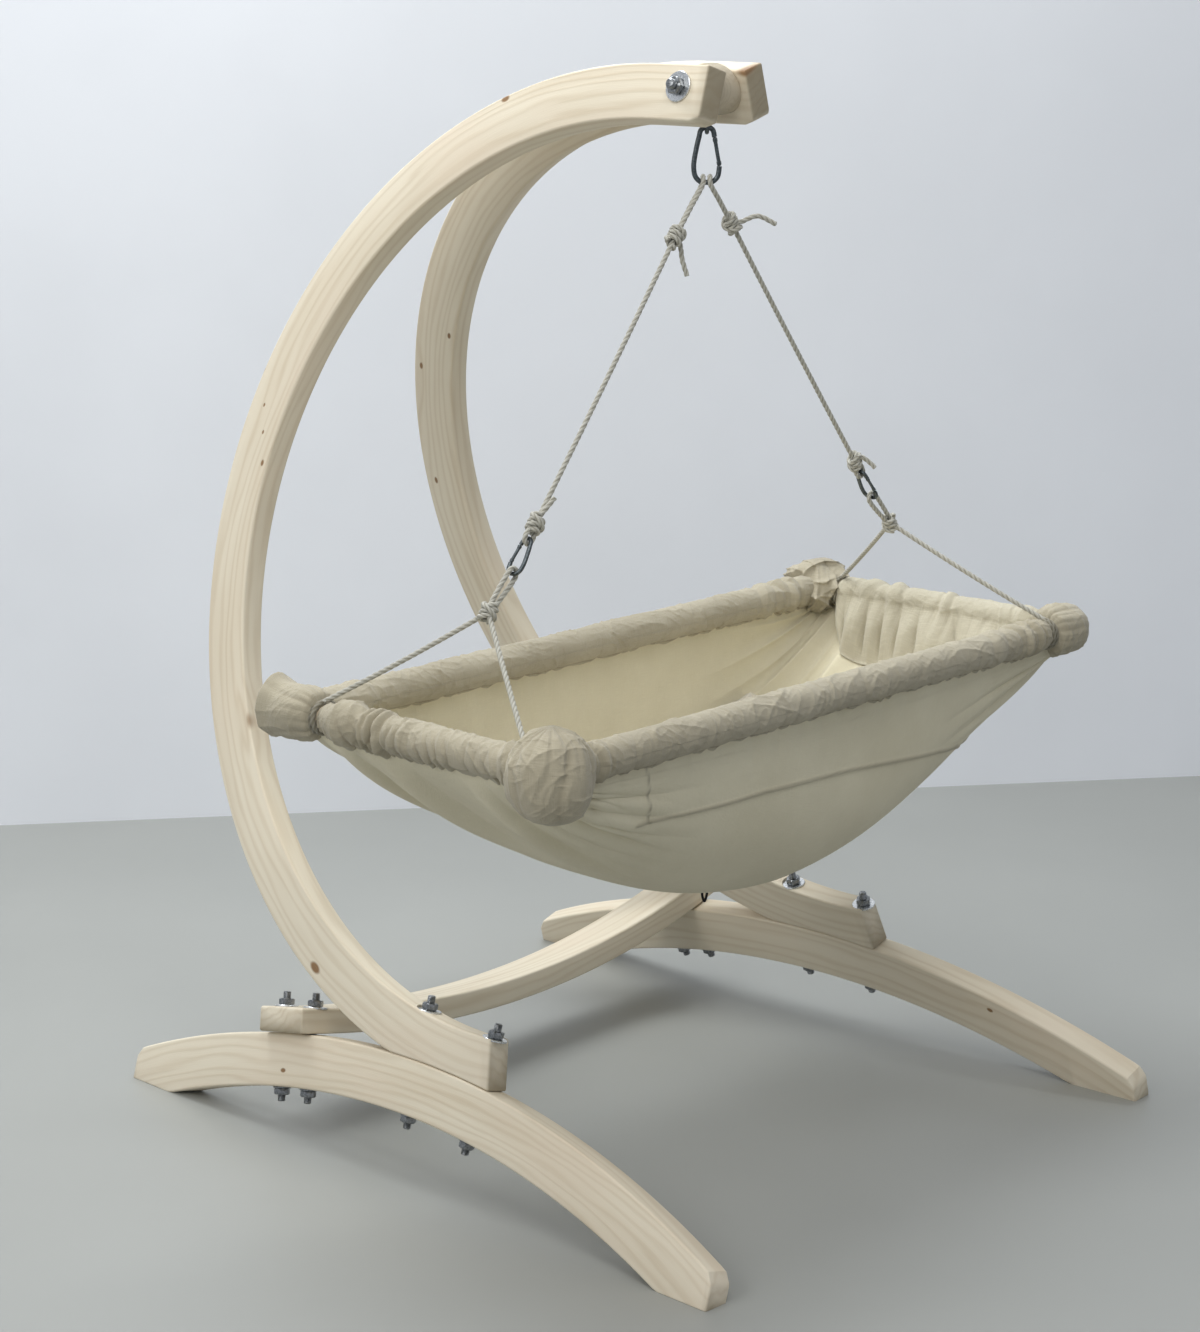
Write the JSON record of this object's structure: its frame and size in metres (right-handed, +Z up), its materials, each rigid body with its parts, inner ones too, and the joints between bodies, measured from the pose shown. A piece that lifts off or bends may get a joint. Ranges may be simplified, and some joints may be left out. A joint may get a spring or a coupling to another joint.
{
  "type": "hanging baby cradle",
  "caption": "Hanging baby cradle: a canvas trough on a rope-hung frame of sleeved bars, swinging from the joined tops of leaning C-shaped pine arches bolted to crowned runners.",
  "frame": {"origin": "On the floor, at the middle of the footprint of the whole cradle.", "axes": "+Z is up. X runs along the basket and from runner to runner. The runners lie along Y, and the arches open toward -Y, the side from which the baby is laid in. +X is on the right as seen from that side."},
  "size_m": [1.042, 1.0288, 1.2901],
  "materials": {
    "pine": "planed and sanded pale laminated pine, oiled, with small knots",
    "dowel": "plain round pine dowel",
    "zinc": "zinc plated, bright and slightly dull",
    "steel": "drawn steel wire, smooth",
    "block": "turned pine block, in the shade of the arches",
    "rope": "twisted natural cotton rope",
    "canvas": "unbleached cotton canvas, matt, gathered",
    "mattress": "soft cotton pad, matt",
    "black_wire": "black coated wire"
  },
  "bodies": {
    "stand": {"runner_left": "pine", "arch_left": "pine", "runner_right": "pine", "arch_right": "pine", "stretcher": "pine", "stud_left_stretcher_rear": "zinc", "washer_left_stretcher_rear": "zinc", "nut_left_stretcher_rear": "zinc", "stud_left_stretcher_front": "zinc", "washer_left_stretcher_front": "zinc", "nut_left_stretcher_front": "zinc", "stud_left_foot_rear": "zinc", "washer_left_foot_rear": "zinc", "nut_left_foot_rear": "zinc", "stud_left_foot_front": "zinc", "washer_left_foot_front": "zinc", "nut_left_foot_front": "zinc", "top_bolt_left": "zinc", "top_washer_left": "zinc", "stud_right_stretcher_rear": "zinc", "washer_right_stretcher_rear": "zinc", "nut_right_stretcher_rear": "zinc", "stud_right_stretcher_front": "zinc", "washer_right_stretcher_front": "zinc", "nut_right_stretcher_front": "zinc", "stud_right_foot_rear": "zinc", "washer_right_foot_rear": "zinc", "nut_right_foot_rear": "zinc", "stud_right_foot_front": "zinc", "washer_right_foot_front": "zinc", "nut_right_foot_front": "zinc", "top_bolt_right": "zinc", "top_washer_right": "zinc", "top_block": "block", "hanger_eye": "steel"},
    "hanger": {"big_carabiner": "steel"},
    "big_gate": {"big_gate": "steel"},
    "ropes": {"upper_rope_left": "rope", "upper_rope_right": "rope", "small_carabiner_left": "steel", "small_carabiner_right": "steel"},
    "small_gate_left": {"small_gate_left": "steel"},
    "small_gate_right": {"small_gate_right": "steel"},
    "basket": {"trough": "canvas", "mattress": "mattress", "long_bar_front": "dowel", "long_bar_rear": "dowel", "short_bar_left": "dowel", "short_bar_right": "dowel", "sleeve_front": "canvas", "sleeve_rear": "canvas", "sleeve_left": "canvas", "sleeve_right": "canvas", "corner_front_left": "canvas", "corner_rear_left": "canvas", "corner_front_right": "canvas", "corner_rear_right": "canvas", "bridle_left": "rope", "bridle_right": "rope", "keel_hook": "black_wire"}
  },
  "joints": [
    {"name": "hanger_swing", "type": "hinge", "parent": "stand", "child": "hanger", "pos_m": [0, -0.13185, 1.21008], "axis": [1, 0, 0], "range_deg": [-15, 15]},
    {"name": "rope_sway", "type": "hinge", "parent": "hanger", "child": "ropes", "pos_m": [0, -0.13185, 1.15248], "axis": [0, 1, 0], "range_deg": [-8, 8]},
    {"name": "basket_rock", "type": "hinge", "parent": "ropes", "child": "basket", "pos_m": [0, -0.13185, 0.737], "axis": [1, 0, 0], "range_deg": [-12, 12]},
    {"name": "big_gate_hinge", "type": "hinge", "parent": "hanger", "child": "big_gate", "pos_m": [0.00614, -0.13844, 1.20478], "axis": [0.7314, 0.682, 0], "range_deg": [0, 25], "stiffness_Nm_per_rad": 0.1, "springref_deg": -17.19},
    {"name": "small_gate_left_hinge", "type": "hinge", "parent": "ropes", "child": "small_gate_left", "pos_m": [-0.30792, -0.12485, 0.76606], "axis": [-0.8094, 0, 0.5872], "range_deg": [0, 25], "stiffness_Nm_per_rad": 0.05, "springref_deg": -17.19},
    {"name": "small_gate_right_hinge", "type": "hinge", "parent": "ropes", "child": "small_gate_right", "pos_m": [0.30792, -0.13885, 0.76606], "axis": [0.8094, 0, 0.5872], "range_deg": [0, 25], "stiffness_Nm_per_rad": 0.05, "springref_deg": -17.19}
  ]
}
